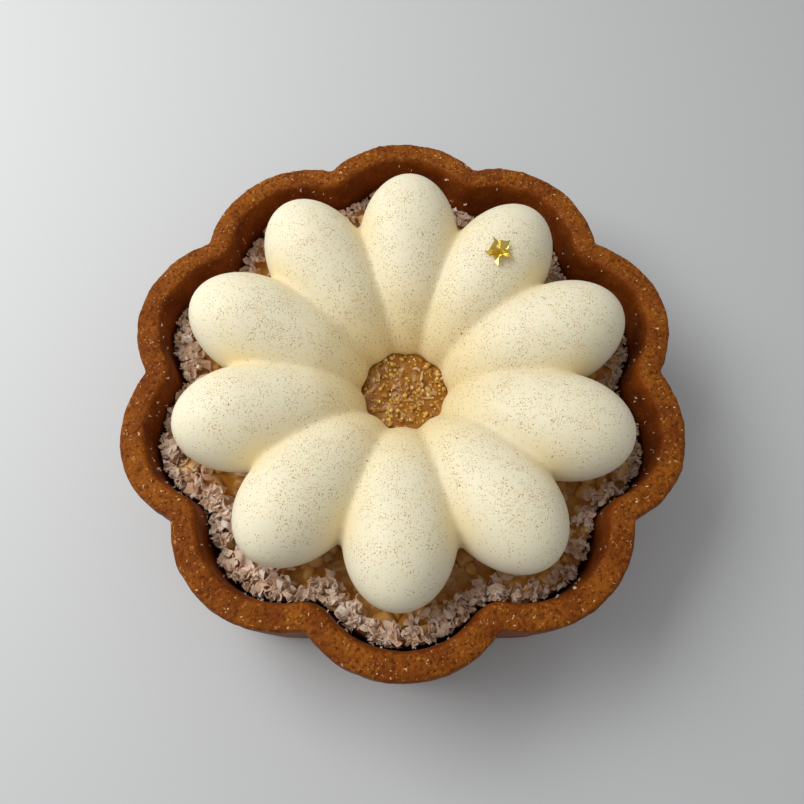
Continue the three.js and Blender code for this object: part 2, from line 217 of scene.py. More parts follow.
def pull_out_of_true(made):
    """Stretches and turns a piece's regular outline to that of the mould."""
    for vertex in made.data.vertices:
        angle = math.atan2(vertex.co.y, vertex.co.x)
        distance = math.hypot(vertex.co.x, vertex.co.y) * stretch_at(angle)
        turned = angle + widening_at(angle)
        vertex.co.x = distance * math.cos(turned)
        vertex.co.y = distance * math.sin(turned)


def wall_draft(height):
    return (RIM_HEIGHT - height) * math.tan(DRAFT)


shell = scallop_loop("baked_shell", wall_draft(0), lobe_steps=24, notch_steps=6)
reach = LOBE_CENTRE + LOBE_RADIUS
for step in range(WALL_STEPS):
    extrude_up(RIM_HEIGHT / WALL_STEPS, 1 + wall_draft(0) / WALL_STEPS / reach)
for band in range(2):
    bpy.ops.mesh.inset(thickness=WALL / 2, use_even_offset=True)
for step in range(INNER_STEPS):
    extrude_up((FLOOR - RIM_HEIGHT) / INNER_STEPS, 1 - wall_draft(FLOOR) / INNER_STEPS / reach)


def inset_at(x, y):
    """How far a point lies inside the regular outline, before that is pulled out of true."""
    angle = math.atan2(y, x) - FRONT
    from_axis = abs(angle - round(angle / LOBE_TURN) * LOBE_TURN)
    along = math.hypot(x, y) * math.cos(from_axis)
    across = math.hypot(x, y) * math.sin(from_axis)
    if math.atan2(across, along - LOBE_CENTRE) < LOBE_OPENING:
        return LOBE_RADIUS - math.hypot(along - LOBE_CENTRE, across)
    notch_along = NOTCH_DISTANCE * math.cos(LOBE_TURN / 2)
    notch_across = NOTCH_DISTANCE * math.sin(LOBE_TURN / 2)
    return math.hypot(along - notch_along, across - notch_across) - NOTCH_SOFTNESS


for inset, rounding in ((0, OUTER_ROUNDING), (WALL, INNER_ROUNDING)):
    pick(shell, "edges", lambda edge: all(
        vertex.co.z > RIM_HEIGHT - 0.1 * MM
        and abs(inset_at(vertex.co.x, vertex.co.y) - inset) < 0.2 * MM for vertex in edge.verts))
    bpy.ops.mesh.bevel(offset=rounding, segments=2, affect="EDGES")
pick(shell, "edges", lambda edge: all(
    vertex.co.z < 0.1 * MM and inset_at(vertex.co.x, vertex.co.y) < 1 * MM
    for vertex in edge.verts))
bpy.ops.mesh.bevel(offset=BASE_CHAMFER, segments=1, affect="EDGES")
settle_faces(shell)
close_editing()

pull_out_of_true(shell)
front_edge = min(vertex.co.y for vertex in shell.data.vertices)
tart_axis = Vector((0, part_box("pastry_shell")[0].y - front_edge, 0))
shell.data.transform(Matrix.Translation(tart_axis))

# The rim isn't quite level: its height wanders by up to 0.3 mm round the tart.
for vertex in shell.data.vertices:
    angle = math.atan2(vertex.co.y, vertex.co.x)
    wave = 0.18 * math.sin(3 * angle + 0.7) + 0.1 * math.sin(7 * angle)
    vertex.co.z += wave * MM * smoothstep(0.25, 1, vertex.co.z / RIM_HEIGHT)
apply_modifier(shell, "SUBSURF", levels=2, render_levels=2)


def inset_in_tart(x, y):
    """How far a point of the finished tart lies inside its outline."""
    turned = math.atan2(y - tart_axis.y, x)
    angle = turned - widening_at(turned - widening_at(turned))
    distance = math.hypot(x, y - tart_axis.y) / stretch_at(angle)
    return inset_at(distance * math.cos(angle), distance * math.sin(angle))


def crumb_share(vertex):
    """1 on the cut rim, where the crumb is open, and 0 on the moulded sides and corners."""
    inset = inset_in_tart(vertex.co.x, vertex.co.y)
    from_rim = max(RIM_HEIGHT - 0.2 * MM - vertex.co.z, 0)
    return ((1 - smoothstep(0.2 * MM, 1.2 * MM, from_rim)) * smoothstep(0.1 * MM, 0.7 * MM, inset)
            * (1 - smoothstep(WALL - 0.8 * MM, WALL - 0.1 * MM, inset)))


def inside_share(vertex):
    """1 on the wall's inner face and the floor, and 0 outside."""
    inset = inset_in_tart(vertex.co.x, vertex.co.y)
    return smoothstep(0.6 * WALL, 0.9 * WALL, inset) if vertex.co.z > FLOOR / 2 else 0


keep_attribute(shell, "cut_crumb", crumb_share)
keep_attribute(shell, "inner_face", inside_share)
rim_group = shell.vertex_groups.new(name="cut_crumb")
for vertex in shell.data.vertices:
    rim_group.add([vertex.index], crumb_share(vertex), "REPLACE")
crumb_grains = bpy.data.textures.new("crumb_grains", "VORONOI")
crumb_grains.noise_scale = CRUMB_WIDTH
crumb_swell = bpy.data.textures.new("crumb_swell", "CLOUDS")
crumb_swell.noise_scale = SWELL_WIDTH
apply_modifier(shell, "DISPLACE", texture=crumb_swell, texture_coords="LOCAL",
               strength=SWELL_RELIEF, mid_level=0.8)
apply_modifier(shell, "DISPLACE", texture=crumb_grains, texture_coords="LOCAL",
               strength=CRUMB_RELIEF, mid_level=0.4, vertex_group="cut_crumb")

# The swell leaves the base uneven, so that is pressed flat again.
for vertex in shell.data.vertices:
    if vertex.co.z < FLAT_BASE:
        vertex.co.z = 0
bpy.ops.object.shade_smooth()


def srgb(code):
    """An opaque colour written as sRGB hex, in the linear values that the shader takes."""
    shares = [int(code[first:first + 2], 16) / 255 for first in (1, 3, 5)]
    return [share / 12.92 if share <= 0.04045 else ((share + 0.055) / 1.055) ** 2.4
            for share in shares] + [1.0]


def add_node(material, kind, settings=None, links=None):
    """Adds a node, sets its options or inputs by name, and links what feeds its inputs."""
    made = material.node_tree.nodes.new(kind)
    for name, value in (settings or {}).items():
        if isinstance(name, str) and hasattr(made, name):
            setattr(made, name, value)
        else:
            made.inputs[name].default_value = value
    for name, source in (links or {}).items():
        material.node_tree.links.new(source, made.inputs[name])
    return made


def new_material(name, made, **settings):
    """Starts a material for a piece and returns it with its surface shader."""
    material = bpy.data.materials.new(name)
    material.use_nodes = True
    surface = material.node_tree.nodes["Principled BSDF"]
    for setting, value in settings.items():
        surface.inputs[setting.replace("_", " ")].default_value = value
    made.data.materials.clear()
    made.data.materials.append(material)
    return material, surface


# Baked sweet pastry: caramel brown in patches a few millimetres across. The cut crumb is matt,
# with painted shade in its pores, and small pale flakes of sugar and almond that also stand in
# for painted glints on the crumb's grains. The moulded sides are smoother and darker, and show
# the same grain faintly.
PATCH_WIDTH = 3.5 * MM
GRAIN_WIDTH = 0.5 * MM
FRAY_WIDTH = 0.45 * MM
GRAIN_DEPTH = 0.4 * MM
SIDE_GRAIN = 0.28
pastry, surface = new_material(
    "baked_sweet_pastry", shell, IOR=1.45, Specular_IOR_Level=0.12)
place = add_node(pastry, "ShaderNodeTexCoord").outputs["Object"]
crumb = add_node(pastry, "ShaderNodeAttribute", {"attribute_name": "cut_crumb"}).outputs["Fac"]
patches = add_node(pastry, "ShaderNodeTexNoise", {"Scale": 1 / PATCH_WIDTH, "Detail": 4.0},
                   {"Vector": place}).outputs["Fac"]
patch_share = add_node(pastry, "ShaderNodeMapRange", {1: 0.35, 2: 0.65}, {0: patches})
rim_brown = add_node(pastry, "ShaderNodeMix",
                     {"data_type": "RGBA", 6: srgb("#7E3E0C"), 7: srgb("#9C5814")},
                     {0: patch_share.outputs[0]})
speckle = add_node(pastry, "ShaderNodeTexNoise",
                   {"Scale": 1 / GRAIN_WIDTH, "Detail": 3.0, "Roughness": 0.55, "Distortion": 0.4},
                   {"Vector": place}).outputs["Fac"]
# Painted shade: the low places of the grain's relief, the pores, are coloured dark brown.
pore_shade_share = add_node(pastry, "ShaderNodeMapRange", {1: 0.33, 2: 0.5}, {0: speckle})
rim_pore_shade = add_node(pastry, "ShaderNodeMix", {"data_type": "RGBA", 6: srgb("#642C06")},
                     {0: pore_shade_share.outputs[0], 7: rim_brown.outputs[2]})
frayed = add_node(pastry, "ShaderNodeTexNoise", {"Scale": 1 / FRAY_WIDTH, "Detail": 1.0},
                  {"Vector": place}).outputs["Color"]
flake_and_glint_place = add_node(pastry, "ShaderNodeVectorMath", {"operation": "MULTIPLY_ADD", 1: [MM] * 3},
                       {0: frayed, 2: place})
rim_colour = rim_pore_shade.outputs[2]
# Pale flakes of sugar and almond, which are partly painted glints on the crumb's grains:
# spacing in mm, share of the places left bare, radius as a share of the spacing, colour.
for spacing, bare, wide, colour in (
        (0.6, 0.48, 0.3, "#BE7F3C"), (0.85, 0.7, 0.2, "#E8C48E")):
    flakes_and_glints = add_node(pastry, "ShaderNodeTexVoronoi", {"Scale": 1 / (spacing * MM)},
                      {"Vector": flake_and_glint_place.outputs[0]})
    own = add_node(pastry, "ShaderNodeSeparateColor", {}, {0: flakes_and_glints.outputs["Color"]})
    chosen = add_node(pastry, "ShaderNodeMath", {"operation": "GREATER_THAN", 1: bare},
                      {0: own.outputs[0]})
    core = add_node(pastry, "ShaderNodeMapRange", {1: wide, 2: wide * 0.55},
                    {0: flakes_and_glints.outputs["Distance"]})
    share = add_node(pastry, "ShaderNodeMath", {"operation": "MULTIPLY"},
                     {0: chosen.outputs[0], 1: core.outputs[0]})
    flaked_and_glinting = add_node(pastry, "ShaderNodeMix", {"data_type": "RGBA", 7: srgb(colour)},
                      {0: share.outputs[0], 6: rim_colour})
    rim_colour = flaked_and_glinting.outputs[2]
side_brown = add_node(pastry, "ShaderNodeMix",
                      {"data_type": "RGBA", 6: srgb("#622A06"), 7: srgb("#78390A")},
                      {0: patch_share.outputs[0]})
inner_face = add_node(pastry, "ShaderNodeAttribute", {"attribute_name": "inner_face"})
inner_brown = add_node(pastry, "ShaderNodeMix",
                       {"data_type": "RGBA", 6: srgb("#622706"), 7: srgb("#7C390A")},
                       {0: patch_share.outputs[0]})
sides = add_node(pastry, "ShaderNodeMix", {"data_type": "RGBA"},
                 {0: inner_face.outputs["Fac"], 6: side_brown.outputs[2],
                  7: inner_brown.outputs[2]})
grain_shown = add_node(pastry, "ShaderNodeMapRange", {3: SIDE_GRAIN, 4: 1.0}, {0: crumb})
crust = add_node(pastry, "ShaderNodeMix", {"data_type": "RGBA"},
                 {0: grain_shown.outputs[0], 6: sides.outputs[2], 7: rim_colour})
pastry.node_tree.links.new(crust.outputs[2], surface.inputs["Base Color"])
roughness = add_node(pastry, "ShaderNodeMapRange", {3: 0.5, 4: 0.6}, {0: crumb})
pastry.node_tree.links.new(roughness.outputs[0], surface.inputs["Roughness"])
depth = add_node(pastry, "ShaderNodeMapRange", {3: 0.3, 4: 1.0}, {0: crumb})
relief = add_node(pastry, "ShaderNodeBump", {"Distance": GRAIN_DEPTH},
                  {"Strength": depth.outputs[0], "Height": speckle})
pastry.node_tree.links.new(relief.outputs[0], surface.inputs["Normal"])
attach(shell, "root")
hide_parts("pastry_shell")


# ---- Almond filling ----
# A firm almond cream spread in the shell, amber with syrup. It is level under the flower, rises a
# little along the wall, and lies lower to the right.

FILLING_LEVEL = 12 * MM
LOWER_SIDE = 4 * MM
GAP = 0.1 * MM
TOP_RINGS = 13
RING_STEP = 0.028
RISE_BY_WALL = 1.4 * MM
DIP_TO_RIGHT = 1.1 * MM

cream = scallop_loop(
    "almond_cream", WALL + wall_draft(FLOOR) + GAP, lobe_steps=20, notch_steps=8)
bpy.ops.transform.translate(value=(0, 0, FLOOR))
extrude_up(LOWER_SIDE)
extrude_up(FILLING_LEVEL - FLOOR - LOWER_SIDE)
before = 1.0
for ring in range(1, TOP_RINGS + 1):
    share = 1 - RING_STEP * ring
    extrude_up(0, share / before)
    before = share
settle_faces(cream)
close_editing()
pull_out_of_true(cream)
cream.data.transform(Matrix.Translation(tart_axis))
apply_modifier(cream, "SUBSURF", levels=1, render_levels=1)
for vertex in cream.data.vertices:
    x, y, z = vertex.co
    if z > FILLING_LEVEL - 0.5 * MM:
        outside = smoothstep(22 * MM, 27 * MM, math.hypot(x, y))
        by_wall = 1 - smoothstep(1 * MM, 5 * MM, inset_in_tart(x, y) - WALL)
        right = smoothstep(-0.2, 0.9, math.cos(math.atan2(y, x)))
        swelling = 0.6 * noise.noise(vertex.co * 280) + 0.35 * noise.noise(vertex.co * 700)
        lift = swelling * MM - DIP_TO_RIGHT * right + RISE_BY_WALL * by_wall
        vertex.co.z += outside * lift
bpy.ops.object.shade_smooth()
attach(cream, "root")
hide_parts("almond_filling")


# ---- Mousse flower ----
# Ten egg-shaped petals of set mousse, moulded as one piece round an open hub, frozen and velvet
# sprayed. Ground vanilla pod shows as fine specks.

PETAL_TIP = 32.9 * MM
PETAL_WAIST = 22.5 * MM
PETAL_HALF_WIDTH = 7.7 * MM
PETAL_RISE = 8 * MM
PETAL_DROP = 6.4 * MM
HUB_RADIUS = 6 * MM
FLOWER_BASE = 12.3 * MM
WAISTLINE = 18.4 * MM
PETAL_TAPER = 1.7
PETAL_SLOPE = 0.19
HUB_ROUNDING = 3 * MM
HUB_DIP = 2 * MM
HUB_DIP_REACH = 13 * MM
VOXEL = 0.4 * MM
FLOWER_TURN = math.radians(-1.6)


def petal_section(distance):
    """Share of its full section that a petal has at a distance from the flower's axis."""
    if distance > PETAL_WAIST:
        share = (distance - PETAL_WAIST) / (PETAL_TIP - PETAL_WAIST)
        return math.sqrt(max(1 - share ** 2, 0))
    taper = 1 - ((PETAL_WAIST - distance) / PETAL_WAIST) ** PETAL_TAPER
    rounding = max((HUB_RADIUS + HUB_ROUNDING - distance) / HUB_ROUNDING, 0)
    return taper * math.sqrt(max(1 - rounding ** 2, 0))


def waist_height(distance):
    """Height of a petal's widest line, which rises to the tip and dips by the hub."""
    dip = HUB_DIP * (1 - smoothstep(HUB_RADIUS, HUB_DIP_REACH, distance))
    return WAISTLINE + PETAL_SLOPE * (distance - PETAL_WAIST) - dip


flower = new_primitive(
    bpy.ops.mesh.primitive_uv_sphere_add, "velvet_flower", segments=48, ring_count=32, radius=1)
close_editing()
for vertex in flower.data.vertices:
    across, up, along = vertex.co
    ring = math.hypot(across, up) or 1
    end = PETAL_TIP if along > 0 else HUB_RADIUS
    distance = PETAL_WAIST + (end - PETAL_WAIST) * abs(along)
    section = petal_section(distance)
    reach = PETAL_RISE if up > 0 else PETAL_DROP
    vertex.co = (
        PETAL_HALF_WIDTH * section * across / ring,
        -distance,
        max(waist_height(distance) + reach * section * up / ring, FLOWER_BASE))
bpy.ops.object.mode_set(mode="EDIT")
bpy.ops.mesh.select_all(action="SELECT")
spin_round(SCALLOPS - 1, (SCALLOPS - 1) * LOBE_TURN, (0, 0, 0), copies=True)

# The foot that joins the petals: its section, in millimetres from the axis and above the base,
# is drawn point by point and spun round the axis.
bpy.ops.mesh.select_all(action="DESELECT")
bpy.ops.mesh.primitive_plane_add(size=MM)
bpy.ops.mesh.merge(type="CENTER")
foot_section = [(21.5, 12.3), (23.4, 15.8), (21.5, 17.6), (12, 15.4), (7.2, 14.4), (6.5, 13.6),
                (6.5, 12.3)]
at = Vector((0, 0, 0))
for number, (radius, height) in enumerate(foot_section):
    to = Vector((radius, 0, height)) * MM
    if number == 0:
        bpy.ops.transform.translate(value=to)
    else:
        bpy.ops.mesh.extrude_vertices_move(TRANSFORM_OT_translate={"value": to - at})
    at = to
foot_start = Vector((foot_section[0][0], 0, foot_section[0][1])) * MM
bpy.ops.mesh.extrude_vertices_move(TRANSFORM_OT_translate={"value": foot_start - at})
pick(flower, "verts", lambda vertex: abs(vertex.co.y) < 1e-7 and len(vertex.link_faces) == 0)
bpy.ops.mesh.remove_doubles(threshold=0.01 * MM)
spin_round(60, 2 * math.pi, (0, 0, 0))
bpy.ops.mesh.select_all(action="SELECT")
bpy.ops.mesh.remove_doubles(threshold=0.001 * MM)
bpy.ops.mesh.normals_make_consistent(inside=False)
close_editing()

apply_modifier(flower, "REMESH", mode="VOXEL", voxel_size=VOXEL)
apply_modifier(flower, "SMOOTH", factor=0.5, iterations=10)
low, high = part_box("mousse_flower")
flower_axis = Vector(((low.x + high.x) / 2, (low.y + high.y) / 2, 0))
flower.data.transform(
    Matrix.Translation(flower_axis) @ Matrix.Rotation(FLOWER_TURN, 4, "Z"))
bpy.ops.object.shade_smooth()


def crest_height(distance):
    """Height of a petal's crest at a distance from the flower's axis."""
    within = min(distance, PETAL_TIP)
    return waist_height(within) + PETAL_RISE * petal_section(within)


def petal_depth(vertex):
    """0 on a petal's crest, rising to 1 in the valleys and towards the hub."""
    x, y, z = vertex.co - flower_axis
    distance = math.hypot(x, y)
    inner = 1 - smoothstep(6 * MM, 18 * MM, distance)
    outer = smoothstep(23 * MM, 29 * MM, distance)
    low = smoothstep(0, 6 * MM, crest_height(distance) - z) * (1 - outer)
    return min(0.7 * low + 0.65 * inner, 1)


def seed_share(vertex):
    """Where the vanilla seeds lie thickest: on the crests, away from the tips."""
    x, y, z = vertex.co - flower_axis
    distance = math.hypot(x, y)
    on_crest = 1 - smoothstep(0.3 * MM, 5 * MM, crest_height(distance) - z)
    return on_crest * (1 - 0.7 * smoothstep(25 * MM, 31 * MM, distance))


keep_attribute(flower, "petal_depth", petal_depth)
keep_attribute(flower, "seed_share", seed_share)

# White chocolate velvet on mousse: near white on the crests, warm yellow in the hollows, with a
# soft satin light on it and light soaking in. Ground vanilla pod lies on it in drifts, as pale
# to dark brown specks 0.15 to 0.25 mm across.
DRIFT_WIDTH = 2.6 * MM
SPRAY_WIDTH = 0.5 * MM
SPRAY_DEPTH = 0.06 * MM
velvet, surface = new_material(
    "velvet_sprayed_mousse", flower, IOR=1.45, Roughness=0.5, Specular_IOR_Level=0.4,
    Subsurface_Weight=0.5, Subsurface_Radius=(1.0, 0.75, 0.4), Subsurface_Scale=2 * MM)
place = add_node(velvet, "ShaderNodeTexCoord").outputs["Object"]
depth = add_node(velvet, "ShaderNodeAttribute", {"attribute_name": "petal_depth"})
seeds = add_node(velvet, "ShaderNodeAttribute", {"attribute_name": "seed_share"})
cream_tone = add_node(velvet, "ShaderNodeMix",
                      {"data_type": "RGBA", 6: srgb("#F5ECCF"), 7: srgb("#EFD89A")},
                      {0: depth.outputs["Fac"]})
drifts = add_node(velvet, "ShaderNodeTexNoise", {"Scale": 1 / DRIFT_WIDTH, "Detail": 2.0},
                  {"Vector": place})
drift_share = add_node(velvet, "ShaderNodeMapRange", {1: 0.38, 2: 0.62, 3: 0.25, 4: 1.0},
                       {0: drifts.outputs["Fac"]})
strewn = add_node(velvet, "ShaderNodeMath", {"operation": "MULTIPLY"},
                  {0: seeds.outputs["Fac"], 1: drift_share.outputs[0]})
seed_colour = cream_tone.outputs[2]
# Specks: spacing in mm, share of the places filled where they lie thickest, radius as a share of
# the spacing, colour.
for spacing, thickest, wide, colour in (
        (0.28, 1, 0.36, "#E4D2A4"), (0.33, 0.85, 0.22, "#B8945A"), (0.45, 0.75, 0.17, "#9A7640"),
        (1.5, 0.4, 0.075, "#7A5A32")):
    cells = add_node(velvet, "ShaderNodeTexVoronoi", {"Scale": 1 / (spacing * MM)},
                     {"Vector": place})
    own = add_node(velvet, "ShaderNodeSeparateColor", {}, {0: cells.outputs["Color"]})
    need = add_node(velvet, "ShaderNodeMath", {"operation": "MULTIPLY_ADD", 1: -thickest, 2: 1.0},
                    {0: strewn.outputs[0]})
    chosen = add_node(velvet, "ShaderNodeMath", {"operation": "GREATER_THAN"},
                      {0: own.outputs[0], 1: need.outputs[0]})
    speck = add_node(velvet, "ShaderNodeMapRange", {1: wide * 1.2, 2: wide * 0.8},
                     {0: cells.outputs["Distance"]})
    share = add_node(velvet, "ShaderNodeMath", {"operation": "MULTIPLY"},
                     {0: chosen.outputs[0], 1: speck.outputs[0]})
    dark = add_node(velvet, "ShaderNodeMix", {"data_type": "RGBA", 7: srgb(colour)},
                    {0: share.outputs[0], 6: seed_colour})
    seed_colour = dark.outputs[2]
velvet.node_tree.links.new(seed_colour, surface.inputs["Base Color"])
spray = add_node(velvet, "ShaderNodeTexNoise", {"Scale": 1 / SPRAY_WIDTH, "Detail": 3.0},
                 {"Vector": place})
relief = add_node(velvet, "ShaderNodeBump", {"Distance": SPRAY_DEPTH, "Strength": 0.4},
                  {"Height": spray.outputs["Fac"]})
velvet.node_tree.links.new(relief.outputs[0], surface.inputs["Normal"])
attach(flower, "root")
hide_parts("mousse_flower")


# ---- Candied almond ----
# Rounded lumps of candied almond, 1.5 to 3.5 mm across, pressed into the cream round the flower.
# They are wet with syrup and shine where they stick out between the petals and the shavings.

LUMPS = 300
LUMP_TRIES = 9000
LUMP_PATTERNS = 8
LUMPS_FROM = 21 * MM
LUMPS_TO = 36 * MM


def copies_of(name, patterns, places):
    """One mesh of many copies. Each place names one of the patterns, a matrix to lay it by, and
    a number that the material reads as the copy's own tone."""
    points, faces, tones = [], [], []
    for which, matrix, tone in places:
        first = len(points)
        pattern = patterns[which].data
        points += [matrix @ vertex.co for vertex in pattern.vertices]
        faces += [[first + corner for corner in face.vertices] for face in pattern.polygons]
        tones += [tone] * len(pattern.vertices)
    mesh = bpy.data.meshes.new(name)
    mesh.from_pydata(points, [], faces)
    mesh.attributes.new("own_tone", "FLOAT", "POINT").data.foreach_set("value", tones)
    made = bpy.data.objects.new(name, mesh)
    bpy.context.scene.collection.objects.link(made)
    bpy.ops.object.select_all(action="DESELECT")
    bpy.context.view_layer.objects.active = made
    made.select_set(True)
    return made


def remove_patterns(patterns):
    for pattern in patterns:
        bpy.data.objects.remove(pattern)


def turned_at_random(draw, lean):
    """A turn about any upright angle after a lean of up to so many radians."""
    return (Matrix.Rotation(draw.uniform(0, 2 * math.pi), 4, "Z")
            @ Matrix.Rotation(draw.uniform(-lean, lean), 4, "X")
            @ Matrix.Rotation(draw.uniform(-lean, lean), 4, "Y"))


draw = random.Random(11)
lump_patterns = []
for number in range(LUMP_PATTERNS):
    lump = new_primitive(bpy.ops.mesh.primitive_cube_add, "lump_pattern", size=1.6)
    bpy.ops.mesh.subdivide(number_cuts=2)
    bpy.ops.transform.tosphere(value=0.8)
    close_editing()
    for vertex in lump.data.vertices:
        vertex.co *= 1 + 0.6 * noise.noise(vertex.co * 1.3 + Vector((0, 0, 7 * number)))
    apply_modifier(lump, "SUBSURF", levels=1, render_levels=1)
    lump_patterns.append(lump)

cream_tree = BVHTree.FromObject(cream, bpy.context.evaluated_depsgraph_get())
flower_tree = BVHTree.FromObject(flower, bpy.context.evaluated_depsgraph_get())
shell_tree = BVHTree.FromObject(shell, bpy.context.evaluated_depsgraph_get())


def tart_point(angle, distance):
    """x and y of a point at an angle and a distance from the tart's axis."""
    return distance * math.cos(angle), distance * math.sin(angle) + tart_axis.y


def height_below(tree, x, y):
    """Height of what lies under a point, or None."""
    return (tree.ray_cast(Vector((x, y, 1)), Vector((0, 0, -1)))[0] or [None] * 3)[2]


def clear_of(tree, point, margin):
    """True where a point is outside a piece by at least margin."""
    near, normal, _, away = tree.find_nearest(point, 4 * MM)
    return near is None or (away > margin and (point - near).dot(normal) > 0)


lump_places = []
lump_spots = []
tries = 0
while len(lump_places) < LUMPS and tries < LUMP_TRIES:
    tries += 1
    angle = draw.uniform(0, 2 * math.pi)
    x, y = tart_point(angle, draw.uniform(LUMPS_FROM, LUMPS_TO))
    size = draw.uniform(0.8, 1.8) * MM
    room = min([math.hypot(x - other_x, y - other_y) - 0.7 * (size + wide)
                for other_x, other_y, wide in lump_spots], default=1)
    if room < 0 or inset_in_tart(x, y) < WALL + size + 0.4 * MM:
        continue
    ground = height_below(cream_tree, x, y)
    scale = Matrix.Diagonal(
        (size, size * draw.uniform(0.7, 1), size * draw.uniform(0.6, 0.85), 1))
    sink = draw.uniform(-0.35, 0.25) * size
    place = Matrix.Translation((x, y, ground + sink)) @ turned_at_random(draw, 0.5) @ scale
    which = draw.randrange(len(lump_patterns))
    if all(clear_of(flower_tree, place @ vertex.co, 0.05 * MM)
           for vertex in lump_patterns[which].data.vertices):
        lump_spots.append((x, y, size))
        lump_places.append((which, place, draw.random()))
lumps = copies_of("candied_almond", lump_patterns, lump_places)
remove_patterns(lump_patterns)
bpy.ops.object.shade_smooth()
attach(lumps, "root")

# Candied almond and almond cream in set syrup: amber to tan in clouds, wet, rippled and a little
# see-through, so light soaks in.
CLOUD_WIDTH = 1.6 * MM
RIPPLE_WIDTH = 0.9 * MM
RIPPLE_DEPTH = 0.2 * MM
for made, label in ((lumps, "candied_almond_in_syrup"), (cream, "almond_cream_in_syrup")):
    candied, surface = new_material(
        label, made, IOR=1.42, Roughness=0.22, Subsurface_Weight=0.5,
        Subsurface_Radius=(1.0, 0.55, 0.22), Subsurface_Scale=1.2 * MM)
    place = add_node(candied, "ShaderNodeTexCoord").outputs["Object"]
    tone = add_node(candied, "ShaderNodeAttribute", {"attribute_name": "own_tone"})
    clouds = add_node(candied, "ShaderNodeTexNoise", {"Scale": 1 / CLOUD_WIDTH, "Detail": 3.0},
                      {"Vector": place})
    mixed = add_node(candied, "ShaderNodeMath", {"operation": "MULTIPLY_ADD", 1: 0.6},
                     {0: tone.outputs["Fac"], 2: clouds.outputs["Fac"]})
    share = add_node(candied, "ShaderNodeMapRange", {1: 0.35, 2: 1.1}, {0: mixed.outputs[0]})
    amber = add_node(candied, "ShaderNodeMix",
                     {"data_type": "RGBA", 6: srgb("#C98A34"), 7: srgb("#F4C880")},
                     {0: share.outputs[0]})
    candied.node_tree.links.new(amber.outputs[2], surface.inputs["Base Color"])
    ripple = add_node(candied, "ShaderNodeTexNoise", {"Scale": 1 / RIPPLE_WIDTH, "Detail": 2.0},
                      {"Vector": place})
    relief = add_node(candied, "ShaderNodeBump", {"Distance": RIPPLE_DEPTH, "Strength": 0.7},
                      {"Height": ripple.outputs["Fac"]})
    candied.node_tree.links.new(relief.outputs[0], surface.inputs["Normal"])


# ---- Praline centre ----
# Crushed caramelised almond in golden syrup, filled into the flower's hub as a low mound with
# grains 0.25 to 0.9 mm across.

PRALINE_RADIUS = 6.6 * MM
PRALINE_SIDE = 0.5 * MM
MOUND_RINGS = 12
MOUND_STEP = 0.03 * MM
GRAINS = 340
GRAIN_PATTERNS = 8
GRAIN_RADII = (0.15, 0.18, 0.22, 0.28, 0.4)

draw = random.Random(23)
praline_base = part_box("praline_centre")[0].z
praline = new_primitive(
    bpy.ops.mesh.primitive_circle_add, "praline_syrup", vertices=64, radius=PRALINE_RADIUS,
    fill_type="NGON")
bpy.ops.transform.translate(value=(0, 0, praline_base))
extrude_up(PRALINE_SIDE)
for ring in range(MOUND_RINGS, 0, -1):
    extrude_up(MOUND_STEP, ring / (ring + 1))
settle_faces(praline)
close_editing()
for vertex in praline.data.vertices:
    if vertex.co.z > praline_base + 0.3 * MM:
        coarse = 0.35 * noise.noise(vertex.co * 500)
        fine = 0.2 * noise.noise(vertex.co * 1300)
        vertex.co.z += (coarse + fine) * MM
praline.data.transform(Matrix.Translation(flower_axis))
bpy.ops.object.shade_smooth()
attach(praline, "root")
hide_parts("praline_centre")


def hub_point(draw, reach):
    """x and y of a random point of the hub, at most reach from the flower's axis."""
    angle = draw.uniform(0, 2 * math.pi)
    distance = reach * math.sqrt(draw.random())
    return (flower_axis.x + distance * math.cos(angle),
            flower_axis.y + distance * math.sin(angle))


grain_patterns = []
for number in range(GRAIN_PATTERNS):
    grain = new_primitive(
        bpy.ops.mesh.primitive_ico_sphere_add, "grain_pattern", subdivisions=1, radius=1)
    close_editing()
    for vertex in grain.data.vertices:
        vertex.co *= 1 + 0.5 * noise.noise(vertex.co * 1.3 + Vector((5 * number, 0, 0)))
    grain_patterns.append(grain)
praline_tree = BVHTree.FromObject(praline, bpy.context.evaluated_depsgraph_get())
grain_places = []
for _ in range(GRAINS):
    x, y = hub_point(draw, PRALINE_RADIUS - 0.5 * MM)
    size = draw.choice(GRAIN_RADII) * MM
    ground = height_below(praline_tree, x, y)
    place = Matrix.Translation((x, y, ground + draw.uniform(0, 0.7) * size))
    scale = Matrix.Diagonal((size, size * draw.uniform(0.6, 1), size * draw.uniform(0.6, 1), 1))
    grain_places.append((
        draw.randrange(len(grain_patterns)), place @ turned_at_random(draw, 1.5) @ scale,
        draw.random()))
grains = copies_of("praline_grains", grain_patterns, grain_places)
remove_patterns(grain_patterns)
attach(grains, "root")

